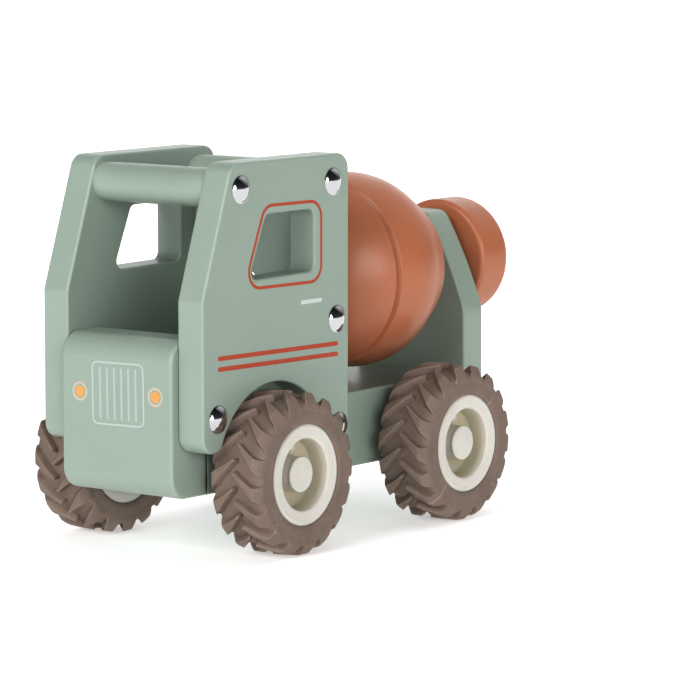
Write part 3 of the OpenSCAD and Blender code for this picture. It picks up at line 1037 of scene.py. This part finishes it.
GRILLE_W, GRILLE_H, GRILLE_ROUND, GRILLE_LINE = 23.5, 22, 2.2, 0.62
GRILLE_BARS, BAR_PITCH, BAR_HALF, BAR_T = 6, 3.3, 8.9, 0.95
LAMPS_X = (-17.75, 17.25)
LAMP_RING_R, LAMP_RING_T, LAMP_DISC_R = 3.05, 0.85, 2.05

bm = bmesh.new()
w, h = GRILLE_W / 2, GRILLE_H / 2
corners = [(x, z, GRILLE_ROUND) for x, z in ((-w, -h), (w, -h), (w, h), (-w, h))]
ribbon(bm, rounded(corners), GRILLE_LINE, on_front, closed=True)
new_piece("grille_outline_print", bm, outline_ink, "body")
bm = bmesh.new()
for i in range(GRILLE_BARS):
    x = (i - (GRILLE_BARS - 1) / 2) * BAR_PITCH
    bar(bm, (x, -BAR_HALF), (x, BAR_HALF), BAR_T, on_front)
new_piece("grille_bars_print", bm, grille_ink, "body")
bm = bmesh.new()
for x in LAMPS_X:
    ribbon(bm, circle(x, 0, LAMP_RING_R), LAMP_RING_T, on_front, closed=True)
new_piece("headlight_ring_print", bm, cream_ink, "body")
bm = bmesh.new()
for x in LAMPS_X:
    disc(bm, x, 0, LAMP_DISC_R, on_front)
new_piece("headlight_disc_print", bm, amber_ink, "body")

# ---------- floor, light and camera ----------


# half the floor's width, in metres
FLOOR_REACH = 20
FLOOR_COLOUR, FLOOR_GLOW = (0.86, 0.86, 0.86, 1), 0.46

bm = bmesh.new()
bmesh.ops.create_grid(bm, x_segments=8, y_segments=8, size=FLOOR_REACH)
mesh = bpy.data.meshes.new("studio_floor")
bm.to_mesh(mesh)
bm.free()
floor = bpy.data.objects.new("studio_floor", mesh)
floor_nodes = Nodes("studio_floor")
floor_nodes.set(Base_Color=FLOOR_COLOUR, Roughness=0.9, Specular_IOR_Level=0.2)
floor_nodes.set(Emission_Color=(1, 1, 1, 1), Emission_Strength=FLOOR_GLOW)
mesh.materials.append(floor_nodes.material)
scene.collection.objects.link(floor)

world = bpy.data.worlds.new("studio")
scene.world = world
world.use_nodes = True
world_nodes = world.node_tree.nodes
world_links = world.node_tree.links


def world_math(operation, a, b):
    """Arithmetic on two numbers or sockets, clamped to 0 to 1."""
    node = world_nodes.new("ShaderNodeMath")
    node.operation = operation
    node.use_clamp = True
    for value, socket in ((a, node.inputs[0]), (b, node.inputs[1])):
        if isinstance(value, float):
            socket.default_value = value
        else:
            world_links.new(value, socket)
    return node.outputs[0]


def world_aim(towards):
    """Cosine between the direction looked in and towards."""
    aim = world_nodes.new("ShaderNodeVectorMath")
    aim.operation = "DOT_PRODUCT"
    aim.inputs[1].default_value = towards
    world_links.new(spot.outputs["Generated"], aim.inputs[0])
    return aim.outputs["Value"]


# level of the sky at the horizon and from SKY_TOP upwards
SKY_LOW, SKY_HIGH, SKY_TOP = 0.36, 0.10, 0.7
# a dark area above the horizon behind the truck's left side: direction, cosine where it starts,
# how fast it deepens sideways and upwards, and how dark it gets
DARK_TOWARDS, DARK_START, DARK_GAIN, DARK_RISE = (0.66, 0.75, 0.0), 0.15, 2.6, 14.0
DARKEST = 0.80
# bright areas: direction, cosine where each starts, how fast it rises, strength
GLOWS = [
    ((-0.60, 0.78, 0.15), 0.75, 5.0, 1.1),
    ((-0.05, 0.70, 0.70), 0.70, 4.0, 0.85),
]
spot = world_nodes.new("ShaderNodeTexCoord")
split = world_nodes.new("ShaderNodeSeparateXYZ")
world_links.new(spot.outputs["Generated"], split.inputs["Vector"])
height = split.outputs["Z"]
past_start = world_math("SUBTRACT", world_aim(DARK_TOWARDS), DARK_START)
sideways = world_math("MULTIPLY", past_start, DARK_GAIN)
dark = world_math("MULTIPLY", sideways, world_math("MULTIPLY", height, DARK_RISE))
sky = world_nodes.new("ShaderNodeMapRange")
sky.inputs["From Max"].default_value = SKY_TOP
sky.inputs["To Min"].default_value = SKY_LOW
sky.inputs["To Max"].default_value = SKY_HIGH
world_links.new(height, sky.inputs["Value"])
dimmed = world_math("MULTIPLY", dark, DARKEST)
level = world_math("MULTIPLY", sky.outputs["Result"], world_math("SUBTRACT", 1.0, dimmed))
for towards, start, gain, strength in GLOWS:
    glow = world_math("MULTIPLY", world_math("SUBTRACT", world_aim(towards), start), gain)
    lit = world_nodes.new("ShaderNodeMath")
    lit.operation = "MULTIPLY_ADD"
    world_links.new(glow, lit.inputs[0])
    lit.inputs[1].default_value = strength
    world_links.new(level, lit.inputs[2])
    level = lit.outputs[0]
world_links.new(level, world_nodes["Background"].inputs["Color"])


def sun(name, towards, strength, spread, mirrored=True):
    """A broad soft light from a direction; it shows in shiny surfaces only if mirrored."""
    lamp = bpy.data.lights.new(name, "SUN")
    lamp.energy = strength
    lamp.angle = math.radians(spread)
    lamp_object = bpy.data.objects.new(name, lamp)
    lamp_object.rotation_euler = Vector(towards).to_track_quat("Z", "Y").to_euler()
    lamp_object.visible_glossy = mirrored
    scene.collection.objects.link(lamp_object)


sun("key", (0.86, -0.47, 0.13), 2.0, 40)
sun("front", (0.02, -0.92, 0.40), 2.08, 36)
sun("side", (0.93, 0.33, 0.10), 0.40, 32, False)
sun("top", (0.0, 0.0, 1.0), 0.50, 50, False)
sun("back", (-0.45, 0.87, 0.20), 0.80, 50, False)

# in metres
CAMERA_AT = Vector((0.92831, -1.17833, 0.24941))
AZIMUTH, ELEVATION = math.radians(37.507), math.radians(7.042)
camera = bpy.data.cameras.new("camera")
camera.sensor_width = 36
camera.lens = 208.3
camera.shift_y = -0.0015
camera.clip_end = 100
camera_object = bpy.data.objects.new("camera", camera)
camera_object.location = CAMERA_AT
camera_object.rotation_euler = (math.pi / 2 - ELEVATION, 0, AZIMUTH)
scene.collection.objects.link(camera_object)
scene.camera = camera_object
scene.view_settings.view_transform = "Standard"
scene.view_settings.gamma = 0.8
